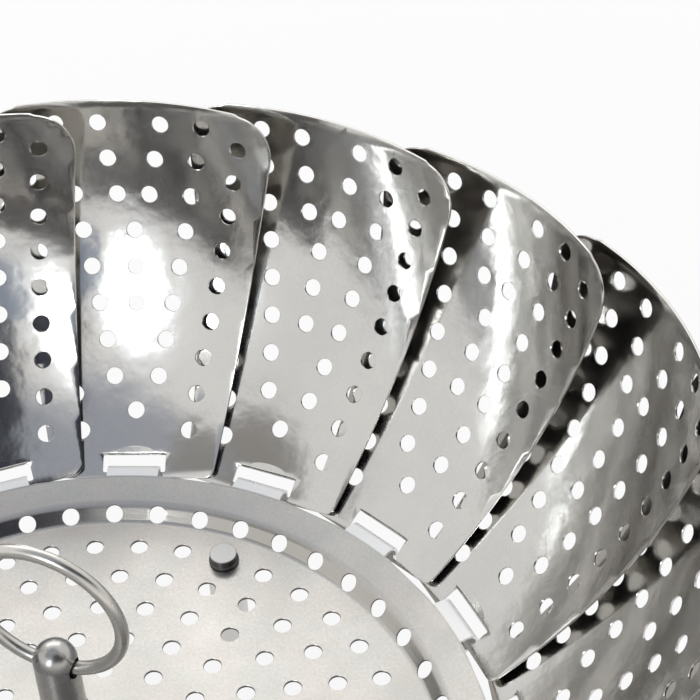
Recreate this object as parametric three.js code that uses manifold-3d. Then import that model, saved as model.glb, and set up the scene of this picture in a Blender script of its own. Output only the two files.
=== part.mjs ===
// A folding steamer basket: a perforated round base, 18 perforated petals hinged round its rim and
// overlapping like shingles, three peg feet, and a centre post with a lift ring.
// Millimetres and degrees, +Z up, origin on the axis at the level that the feet stand on.
import * as THREE from "three";
import { mergeVertices } from "three/addons/utils/BufferGeometryUtils.js";
import Module from "manifold-3d";

// Basket
const petalCount = 18;
const hingeRadius = 68.8; // the petals' hinge axes, from the middle
const hingeRise = 1.75; // the hinge axes above the floor
const seatGap = 0.3; // between pieces that sit on each other
const cutOverrun = 1; // how far a cutting tool passes its sheet

// Base
const baseThickness = 0.5;
const stepHeight = 2.3; // the plain band above the floor
const stepWidth = 2.4;
const rimGap = 1.8; // from the rim to the hinge axes
const baseSegments = 36; // flats, one of them under each tongue

// Holes of the base, in rings
const holeDiameter = 3.1;
const bandWidth = 6.8; // from the outer ring of holes to the rim
const innerRingRadius = 18.2;
const outerRingHoles = 48;
const holesLessPerRing = 6;
const ringCount = 7;
const footRing = 1; // the ring in which each foot takes the place of a hole
const drawnEvery = 2; // one hole in two is cut
const holeSides = 4;

// Hinge: the tongue curls round the strip under the petal's window
const tongueWidth = 9.4;
const tongueThickness = 0.4; // drawn thinner than the sheet by the curling
const tongueOverlap = 0.15; // how far the tongue reaches into the rim
const curlSweep = 255;
const curlSteps = 5;
const hingePlay = 0.65; // between the strip's corners and the curl
const stripHeight = 1.25;
const windowHeight = 3.9;
const windowPlay = 1.1; // on each side of the tongue

// Petal, in its flat pattern
const petalThickness = 0.4;
const petalLength = 69.8; // up to the line of the top corners
const topCrown = 0.8; // the top edge's middle above that line
const rootHalfWidth = 14.8;
const sideSlope = 0.2; // the side edges' spread, and that of the columns of holes
const topCornerRadius = 7;
const rootCornerRadius = 1.8;
const topCornerSteps = 3;
const rootCornerSteps = 1;

// Holes of the petal, in columns that run along the side edges
const lowestHole = 9; // lowest row above the bottom edge
const highestHole = 3.6; // highest row below the line of the top corners
const pitchCount = 8.5; // from the lowest row to the highest
const columnMargin = 6.6; // outermost column, from the side edge
const columnSpacing = 7.9;
const middleHoleHeight = 12.8;
const outerRowShares = [0, 1, 2, 3, 4, 5, 6, 7, 8];
const secondRowShares = [2.5, 4.5, 6.5, 8.5];
const thirdRowShares = [8.5];
const bendRowShares = [1.25, 3.25, 5.25, 7.25]; // bend lines run between the rows
const windowMargin = 0.9; // from the window to the nearest bend line

// Petal, as formed and hung
const rootSlope = 31.4; // the petal's bottom above the horizontal
const bowlRadius = 91.6; // along the petal
const rootCrossRadius = 94.5; // across the petal, at its bottom
const tipCrossRadius = 58.6; // across the petal, at its top
const rootRoll = 2.84; // lifts one side edge over the neighbour's
const tipTwist = 3.25; // more of the same roll, at the top

// Feet
const footLength = 19; // below the base
const footDiameter = 6.4;
const footShoulderDiameter = 9;
const footShoulderHeight = 1.2;
const footTipRound = 1.2;
const footShankDiameter = 3.6;
const footHeadDiameter = 4.8;
const footHeadHeight = 2.4;
const footHeadChamfer = 0.35;
const footSegments = 10;
const footTurn = 60; // the first foot, from +X
const footCount = 3;

// Centre post
const postDiameter = 7;
const postHeight = 33.2; // the ring's eye above the floor
const postCrown = 4.2; // above the eye
const postTopRound = 2.6;
const collarDiameter = 15;
const collarHeight = 1.8;
const studDiameter = 5;
const studLength = 6.5; // below the floor
const eyeDiameter = 3.4;
const eyeSides = 10;
const postSegments = 16;

// Nut under the base
const nutAcrossFlats = 8;
const nutHeight = 3.6;
const nutBoreSides = 12;

// Lift ring
const ringDiameter = 25.2; // along the middle of the wire
const wireDiameter = 2.2;
const ringTurn = -27; // its plane, from +X
const wireSides = 8;
const ringSteps = 24;

// Levels and radii that follow from the sizes above
const rad = THREE.MathUtils.degToRad;
const turn = 2 * Math.PI;
const floorTop = footLength + baseThickness;
const hingeHeight = floorTop + hingeRise;
const rimRadius = hingeRadius - rimGap;
const outerRingRadius = rimRadius - bandWidth;
const ringPitch = (outerRingRadius - innerRingRadius) / (ringCount - 1);
const holePitch = (petalLength - highestHole - lowestHole) / pitchCount;
const curlInnerRadius = Math.hypot(stripHeight, petalThickness) / 2 + hingePlay;
const curlOuterRadius = curlInnerRadius + tongueThickness;
const rimTop = hingeHeight + (curlInnerRadius + curlOuterRadius + baseThickness) / 2;
const windowHalfWidth = tongueWidth / 2 + windowPlay;
const windowTop = stripHeight + windowHeight;
const petalRootRadius = hingeRadius - (stripHeight / 2) * Math.cos(rad(rootSlope));
const petalRootHeight = hingeHeight - (stripHeight / 2) * Math.sin(rad(rootSlope));
const eyeHeight = floorTop + postHeight;

// Finishes
const petalSteel = new THREE.MeshStandardMaterial({ color: 0xb4b4b2, roughness: 0.22, metalness: 1 });
const baseSteel = new THREE.MeshStandardMaterial({ color: 0xbab5ab, roughness: 0.4, metalness: 1 });
const rodSteel = new THREE.MeshStandardMaterial({ color: 0x9d9c99, roughness: 0.3, metalness: 1 });
const wireSteel = new THREE.MeshStandardMaterial({ color: 0xc9c6bd, roughness: 0.18, metalness: 1 });

const wasm = await Module();
wasm.setup();

// A closed geometry as a solid that can be cut and joined
function toSolid(geometry) {
  const bare = geometry.clone();
  bare.deleteAttribute("normal");
  bare.deleteAttribute("uv");
  const merged = mergeVertices(bare, 1e-4);
  return new wasm.Manifold(
    new wasm.Mesh({
      numProp: 3,
      vertProperties: new Float32Array(merged.attributes.position.array),
      triVerts: new Uint32Array(merged.index.array),
    }),
  );
}

// A cut or joined solid as a geometry again
function toGeometry(solid) {
  const mesh = solid.getMesh();
  const geometry = new THREE.BufferGeometry();
  geometry.setAttribute("position", new THREE.BufferAttribute(mesh.vertProperties, mesh.numProp));
  geometry.setIndex(new THREE.BufferAttribute(mesh.triVerts, 1));
  const flat = geometry.toNonIndexed();
  flat.computeVertexNormals();
  return flat;
}

// A profile of [radius, height] points turned round the Z axis
function turned(profile, segments, firstEdge = 0) {
  const points = profile.map(([radius, height]) => new THREE.Vector2(radius, height));
  return new THREE.LatheGeometry(points, segments).rotateX(Math.PI / 2).rotateZ(firstEdge);
}

// An upright prism that cuts a hole through a sheet at the given height
function punch(diameter, sides, radius, angle, height, sheet) {
  const reach = sheet + 2 * cutOverrun;
  const tool = new THREE.CylinderGeometry(diameter / 2, diameter / 2, reach, sides);
  tool.rotateY(turn / sides / 2).rotateX(Math.PI / 2).translate(radius, 0, height).rotateZ(angle);
  return toSolid(tool);
}

// Diameter of a polygon with as many sides that opens as much area as a round hole
function openingDiameter(diameter, sides) {
  return diameter * Math.sqrt(turn / (sides * Math.sin(turn / sides)));
}

const drawnHoleDiameter = openingDiameter(holeDiameter, holeSides);

// Base: the floor, the step, the plain band and the curled tongues in one sheet

function baseSheet() {
  const stepInner = outerRingRadius - stepWidth / 2;
  const stepOuter = outerRingRadius + stepWidth / 2;
  const top = [
    [studDiameter / 2 + seatGap, floorTop],
    [stepInner, floorTop],
    [stepOuter, floorTop + stepHeight],
    [rimRadius, rimTop],
  ];
  const underside = top.map(([radius, height]) => [radius, height - baseThickness]);
  const halfFlat = turn / baseSegments / 2;
  const profile = [...underside, ...top.reverse(), underside[0]].map(([radius, height]) => [
    radius / Math.cos(halfFlat),
    height,
  ]);
  return toSolid(turned(profile, baseSegments, halfFlat));
}

function tongueShape() {
  const start = rimRadius - tongueOverlap;
  const shape = new THREE.Shape();
  shape.moveTo(start, hingeHeight + curlInnerRadius);
  const curl = (radius, share) => {
    const angle = Math.PI / 2 - rad(curlSweep) * share;
    return [hingeRadius + radius * Math.cos(angle), hingeHeight + radius * Math.sin(angle)];
  };
  for (let step = 0; step <= curlSteps; step++) shape.lineTo(...curl(curlInnerRadius, step / curlSteps));
  for (let step = curlSteps; step >= 0; step--) shape.lineTo(...curl(curlOuterRadius, step / curlSteps));
  shape.lineTo(start, hingeHeight + curlOuterRadius);
  return shape;
}

function tongue(angle) {
  const strip = new THREE.ExtrudeGeometry(tongueShape(), { depth: tongueWidth, bevelEnabled: false });
  strip.translate(0, 0, -tongueWidth / 2).rotateX(Math.PI / 2).rotateZ(angle);
  return toSolid(strip);
}

function basePunches() {
  const punches = [];
  for (let ring = 0; ring < ringCount; ring++) {
    const radius = outerRingRadius - ring * ringPitch;
    const holes = outerRingHoles - ring * holesLessPerRing;
    const height = floorTop + (ring === 0 ? stepHeight / 2 : 0);
    for (let hole = 0; hole < holes; hole++) {
      const isFoot = ring === footRing && hole % (holes / footCount) === 0;
      if (!isFoot && hole % drawnEvery !== 0) continue;
      const angle = rad(footTurn) + (turn * hole) / holes;
      const diameter = isFoot ? footShankDiameter + 2 * seatGap : drawnHoleDiameter;
      const sides = isFoot ? footSegments : holeSides;
      punches.push(punch(diameter, sides, radius, angle, height, baseThickness + stepHeight));
    }
  }
  return punches;
}

function basePlate() {
  const tongues = [];
  for (let petal = 0; petal < petalCount; petal++) tongues.push(tongue((turn * petal) / petalCount));
  const sheet = wasm.Manifold.union([baseSheet(), ...tongues]);
  return toGeometry(wasm.Manifold.difference([sheet, ...basePunches()]));
}

// Petal: a flat pattern of tiles between its bend lines, formed into a curved sheet

const sideEdge = (height) => rootHalfWidth + sideSlope * height;
const column = (height, place) => sideEdge(height) - columnMargin - place * columnSpacing;
const outerBend = (height) => Math.max(windowHalfWidth + windowMargin, column(height, 0.5));
const innerBend = (height) => Math.max(0, column(height, 1.5));
const rowHeight = (row) => lowestHole + row * holePitch;

// The bend lines across the petal, from its bottom edge to its top edge, with their nodes
function bendLines() {
  const windowLine = windowTop + windowMargin;
  const heights = [0, windowLine, ...bendRowShares.map(rowHeight), petalLength];
  return heights.map((height, line) => {
    const outer = [sideEdge(height), outerBend(height)];
    const inner = line > 2 ? [innerBend(height), 0, -innerBend(height)] : line === 2 ? [0] : [];
    const across = [...outer, ...inner, -outerBend(height), -sideEdge(height)];
    const crown = (x) => topCrown * (height / petalLength) * (1 - (x / sideEdge(height)) ** 2);
    return across.map((x) => new THREE.Vector2(x, height + crown(x)));
  });
}

// Points of a rounded corner, from the line to it to the line from it
function roundedCorner(before, corner, after, radius, steps) {
  const back = before.clone().sub(corner).normalize();
  const ahead = after.clone().sub(corner).normalize();
  const half = Math.acos(back.dot(ahead)) / 2;
  const centre = corner.clone().addScaledVector(back.clone().add(ahead).normalize(), radius / Math.sin(half));
  const first = corner.clone().addScaledVector(back, radius / Math.tan(half)).sub(centre);
  const sweep = Math.PI - 2 * half;
  const points = [];
  for (let step = 0; step <= steps; step++) {
    const arm = first.clone().rotateAround(new THREE.Vector2(), (sweep * step) / steps);
    points.push(arm.add(centre));
  }
  return points;
}

// Hole outlines of the flat pattern, on both sides of its middle line
function petalHoles() {
  const middles = [new THREE.Vector2(0, middleHoleHeight)];
  [outerRowShares, secondRowShares, thirdRowShares].forEach((rows, place) => {
    for (const row of rows) {
      const height = rowHeight(row);
      for (const side of [1, -1]) middles.push(new THREE.Vector2(side * column(height, place), height));
    }
  });
  return middles.map((middle) => {
    const outline = [];
    for (let corner = 0; corner < holeSides; corner++) {
      const arm = new THREE.Vector2(0, drawnHoleDiameter / 2);
      outline.push(arm.rotateAround(new THREE.Vector2(), (-turn * corner) / holeSides).add(middle));
    }
    return outline;
  });
}

function petalWindow() {
  const corners = [[-1, 0], [-1, 1], [1, 1], [1, 0]];
  return corners.map(([side, top]) => new THREE.Vector2(side * windowHalfWidth, stripHeight + top * windowHeight));
}

// Tiles between neighbouring bend lines, their corners anticlockwise, round corners where the petal ends
function petalTiles() {
  const lines = bendLines();
  const tiles = [];
  for (let row = 0; row + 1 < lines.length; row++) {
    const [low, high] = [lines[row], lines[row + 1]];
    const cuts = row > 1 ? high.map((point, place) => place) : [0, 1, high.length - 2, high.length - 1];
    const lowPlace = (place) => {
      if (low.length === high.length) return place;
      return place < 2 ? place : place > high.length - 3 ? place - high.length + low.length : 2;
    };
    for (let cut = 0; cut + 1 < cuts.length; cut++) {
      const top = high.slice(cuts[cut], cuts[cut + 1] + 1);
      const bottom = low.slice(lowPlace(cuts[cut]), lowPlace(cuts[cut + 1]) + 1).reverse();
      tiles.push(roundOff([...top, ...bottom], row, lines.length, cut, cuts.length));
    }
  }
  return tiles;
}

// Rounds the one corner of a tile that is a corner of the petal
function roundOff(tile, row, lineCount, cut, cutCount) {
  const isRight = cut === 0;
  const isLeft = cut === cutCount - 2;
  const isTop = row === lineCount - 2;
  const isRoot = row === 0;
  if (!(isRight || isLeft) || !(isTop || isRoot)) return tile;
  const corner = isTop ? (isRight ? 0 : 1) : isRight ? 3 : 2;
  const at = (place) => tile[(place + tile.length) % tile.length];
  const radius = isTop ? topCornerRadius : rootCornerRadius;
  const steps = isTop ? topCornerSteps : rootCornerSteps;
  return tile.flatMap((point, place) =>
    place === corner ? roundedCorner(at(place - 1), point, at(place + 1), radius, steps) : [point],
  );
}

// A point of the flat pattern on the formed petal, a given distance off the middle of the sheet
function formed(point, offset) {
  const share = point.y / petalLength;
  const slope = rad(rootSlope) + point.y / bowlRadius;
  const curve = 1 / rootCrossRadius + share * (1 / tipCrossRadius - 1 / rootCrossRadius);
  const roll = rad(rootRoll) + share * rad(tipTwist);
  const bend = curve * point.x;
  const normal = new THREE.Vector3(-Math.sin(slope), bend + roll, Math.cos(slope)).normalize();
  const lift = (bend / 2 + roll) * point.x;
  const rise = bowlRadius * (Math.cos(rad(rootSlope)) - Math.cos(slope));
  const reach = bowlRadius * (Math.sin(slope) - Math.sin(rad(rootSlope)));
  return new THREE.Vector3(
    petalRootRadius + reach - lift * Math.sin(slope),
    -point.x * (1 - bend ** 2 / 6),
    petalRootHeight + rise + lift * Math.cos(slope),
  ).addScaledVector(normal, offset);
}

// Triangles of the flat pattern, as indices into its points
function flatTriangles() {
  const places = new Map();
  const points = [];
  const indexOf = (point) => {
    const key = `${point.x.toFixed(5)} ${point.y.toFixed(5)}`;
    if (!places.has(key)) {
      places.set(key, points.length);
      points.push(point);
    }
    return places.get(key);
  };
  const outlines = [petalWindow(), ...petalHoles()];
  const middleOf = (outline) =>
    outline.reduce((sum, point) => sum.add(point), new THREE.Vector2()).divideScalar(outline.length);
  const triangles = [];
  for (const tile of petalTiles()) {
    const holes = outlines.filter((outline) => isInside(middleOf(outline), tile));
    const corners = [...tile, ...holes.flat()].map(indexOf);
    for (const face of THREE.ShapeUtils.triangulateShape(tile.slice(), holes.map((hole) => hole.slice())))
      triangles.push(face.map((place) => corners[place]));
  }
  return { points, triangles };
}

function isInside(point, polygon) {
  return polygon.every((corner, place) => {
    const next = polygon[(place + 1) % polygon.length];
    return next.clone().sub(corner).cross(point.clone().sub(corner)) > 0;
  });
}

// The formed petal as a closed sheet: an inner face, an outer face, and walls along every free edge
function petalSheet() {
  const { points, triangles } = flatTriangles();
  const inner = points.map((point) => formed(point, petalThickness / 2));
  const outer = points.map((point) => formed(point, -petalThickness / 2));
  const corners = [];
  const edges = new Set();
  for (const [a, b, c] of triangles) {
    corners.push(inner[a], inner[b], inner[c], outer[a], outer[c], outer[b]);
    edges.add(`${a} ${b}`).add(`${b} ${c}`).add(`${c} ${a}`);
  }
  for (const edge of edges) {
    const [a, b] = edge.split(" ");
    if (edges.has(`${b} ${a}`)) continue;
    corners.push(inner[b], inner[a], outer[a], inner[b], outer[a], outer[b]);
  }
  const geometry = new THREE.BufferGeometry().setFromPoints(corners);
  geometry.computeVertexNormals();
  return geometry;
}

// Peg foot: a head on the floor, a shank through it, a shoulder under it and a peg with a rounded tip
function pegFoot() {
  const headRadius = footHeadDiameter / 2;
  const pegRadius = footDiameter / 2;
  const headBottom = floorTop + seatGap;
  const headTop = floorTop + footHeadHeight;
  const shoulderTop = footLength - seatGap;
  const shoulderBottom = shoulderTop - footShoulderHeight;
  const profile = [
    [0, 0],
    [pegRadius - footTipRound, 0],
    [pegRadius - footTipRound * (1 - Math.SQRT1_2), footTipRound * (1 - Math.SQRT1_2)],
    [pegRadius, footTipRound],
    [pegRadius, shoulderBottom],
    [footShoulderDiameter / 2, shoulderBottom],
    [footShoulderDiameter / 2, shoulderTop],
    [footShankDiameter / 2, shoulderTop],
    [footShankDiameter / 2, headBottom],
    [headRadius, headBottom],
    [headRadius, headTop - footHeadChamfer],
    [headRadius - footHeadChamfer, headTop],
    [0, headTop],
  ];
  return turned(profile, footSegments);
}

// Centre post: a threaded stud, a collar on the floor, a rod, and an eye across its top
function centrePost() {
  const rodRadius = postDiameter / 2;
  const collarRadius = collarDiameter / 2;
  const collarBottom = floorTop + seatGap;
  const collarTop = floorTop + collarHeight;
  const top = eyeHeight + postCrown;
  const profile = [
    [0, floorTop - studLength],
    [studDiameter / 2, floorTop - studLength],
    [studDiameter / 2, collarBottom],
    [collarRadius, collarBottom],
    [collarRadius, (collarBottom + collarTop) / 2],
    [(rodRadius + collarRadius) / 2, collarTop],
    [rodRadius, collarTop],
    [rodRadius, top - postTopRound],
    [rodRadius - postTopRound * (1 - Math.SQRT1_2), top - postTopRound * (1 - Math.SQRT1_2)],
    [rodRadius - postTopRound, top],
    [0, top],
  ];
  const eye = new THREE.CylinderGeometry(eyeDiameter / 2, eyeDiameter / 2, postDiameter + 2 * cutOverrun, eyeSides);
  eye.rotateZ(Math.PI / 2).translate(0, 0, eyeHeight).rotateZ(rad(ringTurn));
  return toGeometry(toSolid(turned(profile, postSegments)).subtract(toSolid(eye)));
}

function postNut() {
  const nut = new THREE.Shape();
  const cornerRadius = nutAcrossFlats / 2 / Math.cos(Math.PI / 6);
  for (let corner = 0; corner < 6; corner++) {
    const angle = (turn * corner) / 6;
    const [x, y] = [cornerRadius * Math.cos(angle), cornerRadius * Math.sin(angle)];
    if (corner === 0) nut.moveTo(x, y);
    else nut.lineTo(x, y);
  }
  const bore = new THREE.Path().absarc(0, 0, studDiameter / 2 + seatGap, 0, turn, true);
  nut.holes.push(bore);
  const settings = { depth: nutHeight, bevelEnabled: false, curveSegments: nutBoreSides };
  return new THREE.ExtrudeGeometry(nut, settings).translate(0, 0, footLength - seatGap - nutHeight);
}

function liftRing() {
  const ringRadius = ringDiameter / 2;
  const ring = new THREE.TorusGeometry(ringRadius, wireDiameter / 2, wireSides, ringSteps);
  const sag = ringRadius - Math.sqrt(ringRadius ** 2 - (postDiameter / 2) ** 2); // of the wire in the eye
  return ring.rotateX(Math.PI / 2).translate(0, 0, ringRadius - sag / 2);
}

// Assembly

const basket = new THREE.Group();

function place(name, geometry, material, carrier = basket) {
  const mesh = new THREE.Mesh(geometry, material);
  mesh.name = name;
  carrier.add(mesh);
  return mesh;
}

place("base_plate", basePlate(), baseSteel);

const petal = petalSheet();
for (let number = 0; number < petalCount; number++) {
  const name = `petal_${String(number + 1).padStart(2, "0")}`;
  place(name, petal, petalSteel).rotation.z = (turn * number) / petalCount;
}

const foot = pegFoot();
for (let number = 0; number < footCount; number++) {
  const stand = new THREE.Group();
  stand.rotation.z = rad(footTurn) + (turn * number) / footCount;
  basket.add(stand);
  const mesh = place(`peg_foot_${number + 1}`, foot, rodSteel, stand);
  mesh.position.x = outerRingRadius - footRing * ringPitch;
}

place("centre_post", centrePost(), rodSteel);
place("post_nut", postNut(), rodSteel);

const ring = place("lift_ring", liftRing(), wireSteel);
ring.position.z = eyeHeight;
ring.rotation.z = rad(ringTurn);

export default basket;
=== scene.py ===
import math

import bmesh
import bpy
from mathutils import Matrix, Vector


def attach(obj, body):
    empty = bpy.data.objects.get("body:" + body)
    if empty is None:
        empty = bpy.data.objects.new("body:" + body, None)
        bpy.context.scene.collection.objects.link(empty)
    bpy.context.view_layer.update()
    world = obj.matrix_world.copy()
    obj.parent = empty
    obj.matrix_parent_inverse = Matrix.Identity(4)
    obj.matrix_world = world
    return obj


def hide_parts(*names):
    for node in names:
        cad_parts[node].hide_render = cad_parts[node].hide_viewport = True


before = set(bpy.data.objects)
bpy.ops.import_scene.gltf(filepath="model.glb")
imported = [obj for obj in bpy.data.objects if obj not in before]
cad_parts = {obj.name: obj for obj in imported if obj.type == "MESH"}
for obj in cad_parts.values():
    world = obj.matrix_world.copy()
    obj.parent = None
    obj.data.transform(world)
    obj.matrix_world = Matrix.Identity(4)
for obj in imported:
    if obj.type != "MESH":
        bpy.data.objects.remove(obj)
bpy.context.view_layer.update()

MM = 0.001
FULL_TURN = 2 * math.pi

# The basket's main places, in its own frame
PETAL_COUNT = 18
HINGE_RADIUS = 68.8 * MM
HINGE_HEIGHT = 21.25 * MM
FLOOR_TOP = 19.5 * MM
BASE_SHEET = 0.5 * MM
EYE_HEIGHT = FLOOR_TOP + 33.2 * MM
RING_AZIMUTH = -27

# The photograph's camera
CAMERA_AZIMUTH = -82.27
CAMERA_REACH = 236.2 * MM  # from the basket's axis
CAMERA_HEIGHT = 334.1 * MM
CAMERA_PITCH = 43.56
CAMERA_YAW = 4.02
CAMERA_ROLL = -3.97
CAMERA_LENS = 121.8
CAMERA_SENSOR = 36.0


def rad(degrees):
    return math.radians(degrees)


def make_camera():
    data = bpy.data.cameras.new("photo_camera")
    data.lens = CAMERA_LENS
    data.sensor_width = CAMERA_SENSOR
    camera = bpy.data.objects.new("photo_camera", data)
    bpy.context.scene.collection.objects.link(camera)
    yaw, pitch, roll = rad(CAMERA_YAW), rad(CAMERA_PITCH), rad(CAMERA_ROLL)
    ahead = Vector((math.sin(yaw) * math.cos(pitch), math.cos(yaw) * math.cos(pitch), -math.sin(pitch)))
    level_right = Vector((math.cos(yaw), -math.sin(yaw), 0))
    level_up = level_right.cross(ahead)
    right = math.cos(roll) * level_right + math.sin(roll) * level_up
    up = -math.sin(roll) * level_right + math.cos(roll) * level_up
    turn = Matrix((right, up, -ahead)).transposed()
    azimuth = rad(CAMERA_AZIMUTH)
    camera.location = (CAMERA_REACH * math.cos(azimuth), CAMERA_REACH * math.sin(azimuth), CAMERA_HEIGHT)
    camera.rotation_euler = turn.to_euler()
    bpy.context.scene.camera = camera


make_camera()


# Helpers for meshes
SHARP_ANGLE = 30  # an edge that turns by more than this is a sharp one
SAME = 1e-7  # places closer than this are the same
SOFT_STEPS = 3
LEVEL = 0.99999  # a face is level where its normal rises by more than this


def finish_mesh(bm, name, material):
    """Turns a bmesh into a shaded object at the origin."""
    for face in bm.faces:
        face.smooth = True
    for edge in bm.edges:
        edge.smooth = edge.calc_face_angle(0) < rad(SHARP_ANGLE) and not borders_flat(edge)
    mesh = bpy.data.meshes.new(name)
    bm.to_mesh(mesh)
    bm.free()
    mesh.materials.append(material)
    piece = bpy.data.objects.new(name, mesh)
    bpy.context.scene.collection.objects.link(piece)
    return piece


def is_level(face):
    return abs(face.normal.z) > LEVEL


def borders_flat(edge):
    """True between a level face and one that isn't, so that level faces stay flat to the eye."""
    level = [is_level(face) for face in edge.link_faces]
    return len(level) == 2 and level[0] != level[1]


def swept(bm, points, angle, steps):
    """Sweeps a line of (radius, height) points round the Z axis, through an angle centred on +X."""
    start = Matrix.Rotation(-angle / 2, 3, "Z")
    corners = [bm.verts.new(start @ Vector((radius, 0, height))) for radius, height in points]
    edges = [bm.edges.new(pair) for pair in zip(corners, corners[1:])]
    bmesh.ops.spin(bm, geom=corners + edges, axis=(0, 0, 1), cent=(0, 0, 0), angle=angle, steps=steps)


def weld(bm):
    bmesh.ops.remove_doubles(bm, verts=bm.verts, dist=SAME)
    bmesh.ops.dissolve_degenerate(bm, edges=bm.edges, dist=SAME / 10)
    bmesh.ops.recalc_face_normals(bm, faces=bm.faces)


def turned(points, steps):
    """A solid turned round the Z axis, from a line of (radius, height) points that ends on it."""
    bm = bmesh.new()
    swept(bm, points, FULL_TURN, steps)
    weld(bm)
    return bm


def cut(bm, cutters):
    """Cuts the cutters' bodies out of the bmesh, and returns what is left."""
    scraps = []
    for name, source in (("blank", bm), ("cutters", cutters)):
        mesh = bpy.data.meshes.new(name)
        source.to_mesh(mesh)
        source.free()
        scraps.append(bpy.data.objects.new(name, mesh))
        bpy.context.scene.collection.objects.link(scraps[-1])
    blank, tool = scraps
    modifier = blank.modifiers.new("holes", "BOOLEAN")
    modifier.operation = "DIFFERENCE"
    modifier.solver = "EXACT"
    modifier.object = tool
    graph = bpy.context.evaluated_depsgraph_get()
    result = bmesh.new()
    result.from_mesh(blank.evaluated_get(graph).to_mesh())
    for scrap in scraps:
        mesh = scrap.data
        bpy.data.objects.remove(scrap)
        bpy.data.meshes.remove(mesh)
    return result


def make_punch(diameter, sheet):
    """A round punch along Z that breaks the edges of the hole on both faces of a sheet."""
    radius, half = diameter / 2, sheet / 2
    flare = radius + EDGE_BREAK + half
    side = [(flare, -sheet), (radius, EDGE_BREAK - half), (radius, half - EDGE_BREAK), (flare, sheet)]
    bm = turned([(0, -sheet), *side, (0, sheet)], HOLE_STEPS)
    mesh = bpy.data.meshes.new("punch")
    bm.to_mesh(mesh)
    bm.free()
    return mesh


def add_punch(cutters, punch, place, direction=Vector((0, 0, 1))):
    """Adds a copy of a punch at a place, along a direction."""
    copy = punch.copy()
    copy.transform(Matrix.Translation(place) @ direction.to_track_quat("Z", "X").to_matrix().to_4x4())
    cutters.from_mesh(copy)
    bpy.data.meshes.remove(copy)


def rounded(bm, geometry, width, steps, affect="EDGES", clamp=False):
    """Rounds the given edges or corners."""
    bmesh.ops.bevel(
        bm, geom=geometry, affect=affect, offset=width, segments=steps, profile=0.5, material=-1,
        clamp_overlap=clamp,
    )


def softened(bm, width):
    """Rounds every edge that turns by more than the least angle."""
    edges = [edge for edge in bm.edges if edge.is_manifold and edge.calc_face_angle() > rad(SHARP_ANGLE)]
    rounded(bm, edges, width, SOFT_STEPS, clamp=True)


# Sizes of the sheets' edges and holes
HOLE_DIAMETER = 3.1 * MM
HOLE_STEPS = 24
EDGE_BREAK = 0.07 * MM

# Petal, in its flat pattern
PETAL_SHEET = 0.4 * MM
PETAL_LENGTH = 69.8 * MM
TOP_CROWN = 0.8 * MM
ROOT_HALF_WIDTH = 14.8 * MM
SIDE_SLOPE = 0.2
TOP_CORNER_RADIUS = 7 * MM
ROOT_CORNER_RADIUS = 1.8 * MM
WINDOW_HALF_WIDTH = 5.8 * MM
WINDOW_BOTTOM = 1.25 * MM
WINDOW_TOP = 4.5 * MM
WINDOW_CORNER = 0.3 * MM
LOWEST_HOLE = 9.03 * MM
HOLE_PITCH = 6.73 * MM
MIDDLE_HOLE = 12.85 * MM
COLUMN_STARTS = (8.26 * MM, 0.26 * MM, -8.0 * MM)  # at the bottom edge, from the middle line
COLUMN_SLOPES = (0.1965, 0.2021, 0.2083)
COLUMN_ROWS = ((0, 1, 2, 3, 4, 5, 6, 7, 8), (1.5, 2.5, 3.5, 4.5, 5.5, 6.5, 7.5, 8.5), (6.5, 7.5, 8.5))
MIDDLE_ROWS = (3.5, 4.5, 5.5)
SLICE = 2 * MM  # spacing of the cuts that let the sheet bend
ROOT_CORNER_STEPS = 5
TOP_CORNER_STEPS = 14
CROWN_CUTS = 15
LIP_WIDTH = 0.65 * MM  # the window's upper edge is bent outward by its punch
LIP_DEPTH = 0.3 * MM
LIP_STEPS = 4
MARK_HALF_WIDTH = 3.4 * MM  # the punch's mark over the window
MARK_HEIGHT = 1.0 * MM
MARK_DEPTH = 0.07 * MM
DIMPLE_DEPTH = 0.042  # in millimetres
DIMPLE_REACH = 3.2

# Petal, as formed
ROOT_SLOPE = 31.4
BOWL_RADIUS = 91.6 * MM
ROOT_CROSS_RADIUS = 94.5 * MM
TIP_CROSS_RADIUS = 58.6 * MM
ROOT_ROLL = 2.84
TIP_TWIST = 3.25
STRIP_MIDDLE = 0.625 * MM


def is_square_to(edge, axis):
    """True for an edge whose ends lie at the same place on an axis."""
    return abs(edge.verts[0].co[axis] - edge.verts[1].co[axis]) < SAME


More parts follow.
